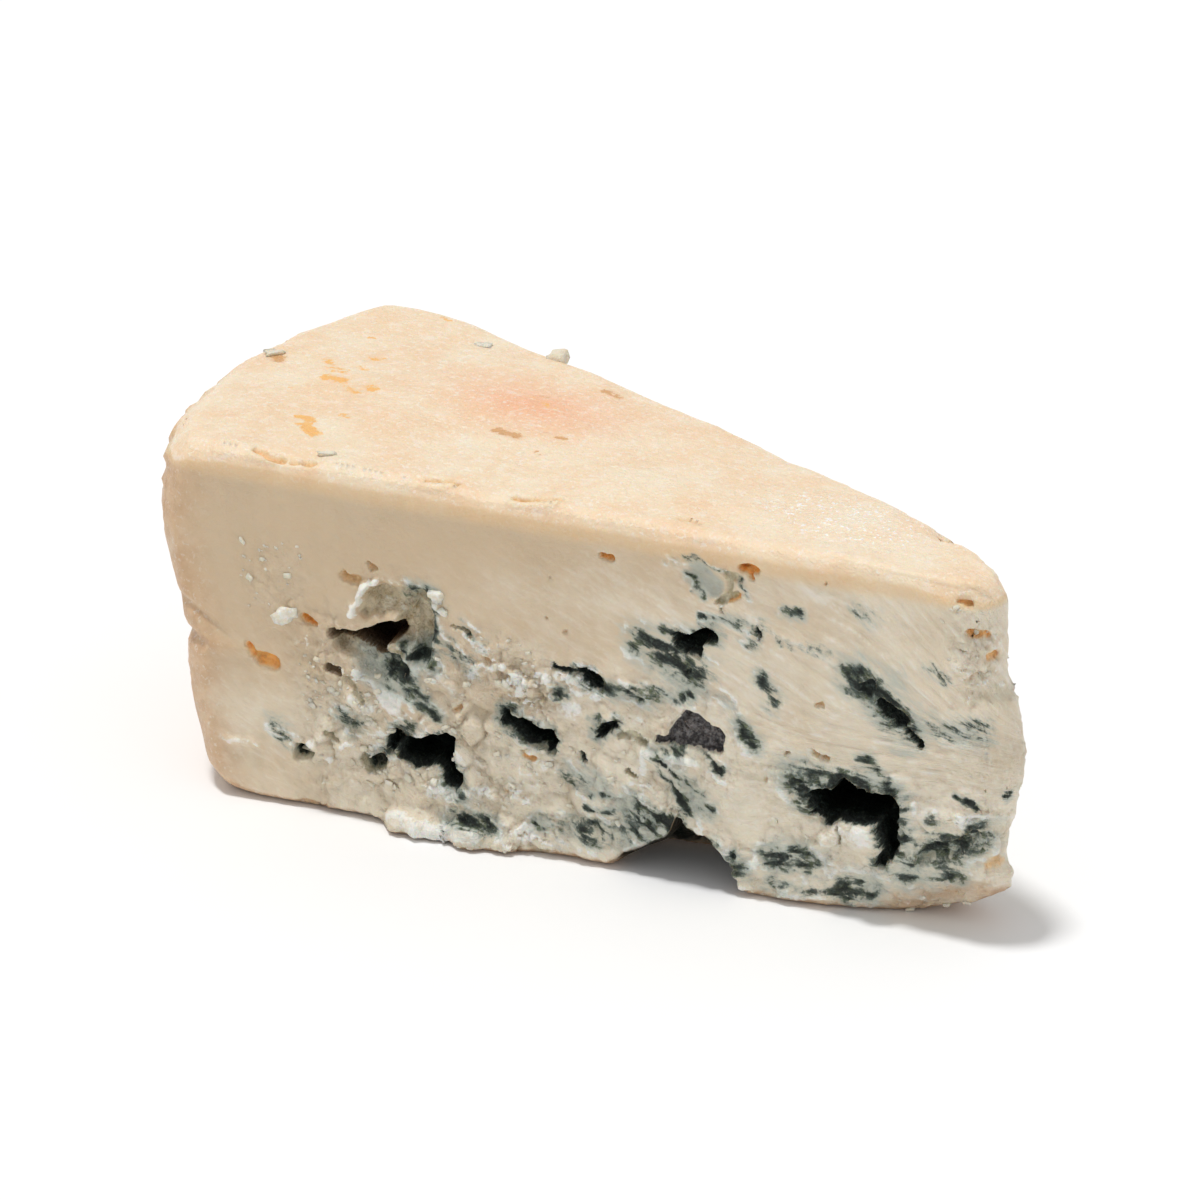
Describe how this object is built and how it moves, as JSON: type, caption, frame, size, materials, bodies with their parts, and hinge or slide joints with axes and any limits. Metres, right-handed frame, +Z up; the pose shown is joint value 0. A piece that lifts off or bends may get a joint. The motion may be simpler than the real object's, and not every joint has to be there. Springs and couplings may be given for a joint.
{
  "type": "blue cheese wedge",
  "caption": "Wedge of blue-veined cheese cut from a wheel, with a soft pale rind on top, heel and base and torn pockets in its cut faces.",
  "frame": {"origin": "centre of the bounding box at the base, on the surface the wedge stands on", "axes": "+X from the rounded heel to the nose, +Y from the cut face seen in the picture to the hidden cut face, +Z up"},
  "size_m": [0.1543, 0.0701, 0.0601],
  "materials": {
    "cheese": "satin"
  },
  "bodies": {
    "root": {"blue_cheese_wedge": "cheese"}
  },
  "joints": []
}
